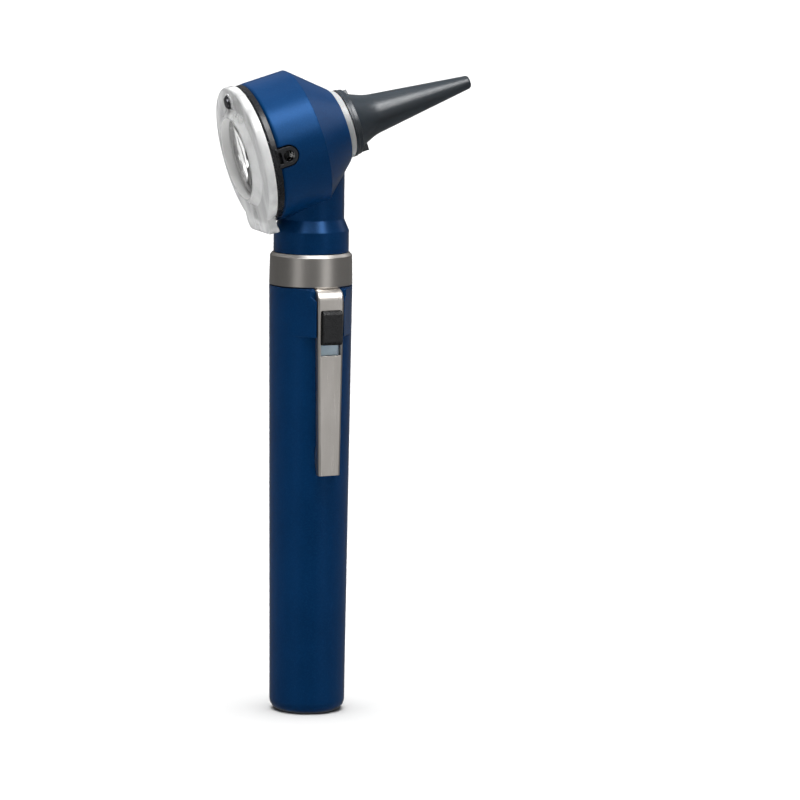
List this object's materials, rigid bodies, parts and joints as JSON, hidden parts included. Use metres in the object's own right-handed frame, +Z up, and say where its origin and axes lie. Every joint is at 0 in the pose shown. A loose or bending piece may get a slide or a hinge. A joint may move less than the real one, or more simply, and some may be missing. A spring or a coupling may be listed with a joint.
{
  "type": "otoscope",
  "caption": "Pocket otoscope: battery handle with clip and slide switch, screw-on head, swinging magnifying lens and conical ear speculum.",
  "frame": {"origin": "centre of the flat foot of the handle, on the handle's axis", "axes": "+Z up the handle's axis, +X the way the speculum points, seen from above; the speculum rises 16.8 degrees above +X; the lens is on the -X side and its axis rises 14.1 degrees"},
  "size_m": [0.0623, 0.0342, 0.1556],
  "materials": {
    "blue_plastic": "fine-grained matte moulding",
    "collar_steel": "turned and brushed",
    "clip_steel": "satin sheet",
    "switch_plate_plastic": "pale blue-grey moulding",
    "spring_brass": "rolled strip",
    "spring_steel": "drawn wire",
    "cell_jacket": "plain printed jacket without text",
    "black_plastic": "semi-gloss moulding",
    "slider_black": "semi-gloss moulding",
    "washer_nylon": "natural nylon",
    "shell_black": "matte moulding",
    "seat_grey": "light grey moulding",
    "light_guide": "bundled glass fibre, polished end",
    "sleeve_nickel": "nickel-plated turned brass",
    "bush_plastic": "phenolic insulator",
    "lamp_brass": "turned brass",
    "lamp_black_glass": "black glass seal",
    "lamp_clear_glass": "clear glass",
    "pin_steel": "dark turned steel",
    "clear_acrylic": "clear polished acrylic",
    "lens_glass": "polished optical glass",
    "speculum_grey": "dark blue-grey polypropylene"
  },
  "bodies": {
    "handle": {"handle_tube": "blue_plastic", "collar_ring": "collar_steel", "pocket_clip": "clip_steel", "switch_plate": "switch_plate_plastic", "contact_strip": "spring_brass", "contact_washer": "spring_brass", "base_spring": "spring_steel", "battery_lower": "cell_jacket", "battery_upper": "cell_jacket"},
    "switch": {"switch_slider": "slider_black", "switch_contact": "spring_brass"},
    "washer": {"seal_washer": "washer_nylon"},
    "head": {"head_housing": "blue_plastic", "viewing_insert": "black_plastic", "nozzle_shell": "shell_black", "seat_ring": "seat_grey", "fibre_ring": "light_guide", "fibre_bundle": "light_guide", "connector_sleeve": "sleeve_nickel", "contact_bush": "bush_plastic", "centre_contact": "lamp_brass", "lamp_base": "lamp_brass", "lamp_insulator": "lamp_black_glass", "lamp_contact": "lamp_brass", "lamp_glass": "lamp_clear_glass", "pivot_pin": "pin_steel", "pivot_washer": "pin_steel"},
    "lens": {"lens_plate": "clear_acrylic", "magnifying_lens": "lens_glass"},
    "speculum": {"speculum": "speculum_grey"}
  },
  "joints": [
    {"name": "switch_slide", "type": "slide", "parent": "handle", "child": "switch", "axis": [0, 0, -1], "range_m": [0, 0.0026]},
    {"name": "head_turn", "type": "hinge", "parent": "handle", "child": "washer", "pos_m": [0, 0, 0.1064], "axis": [0, 0, 1], "range_deg": [0, 1440]},
    {"name": "head_lift", "type": "slide", "parent": "washer", "child": "head", "axis": [0, 0, 1], "range_m": [0, 0.005]},
    {"name": "lens_swing", "type": "hinge", "parent": "head", "child": "lens", "pos_m": [-0.01989, 0, 0.1485], "axis": [0.9699, 0, 0.2436], "range_deg": [-110, 110]},
    {"name": "speculum_pull", "type": "slide", "parent": "head", "child": "speculum", "axis": [0.9573, 0, 0.289], "range_m": [0, 0.012]}
  ],
  "couplings": [
    {"joint": "head_lift", "follows": "head_turn", "m_per_rad": 0.00019894}
  ]
}
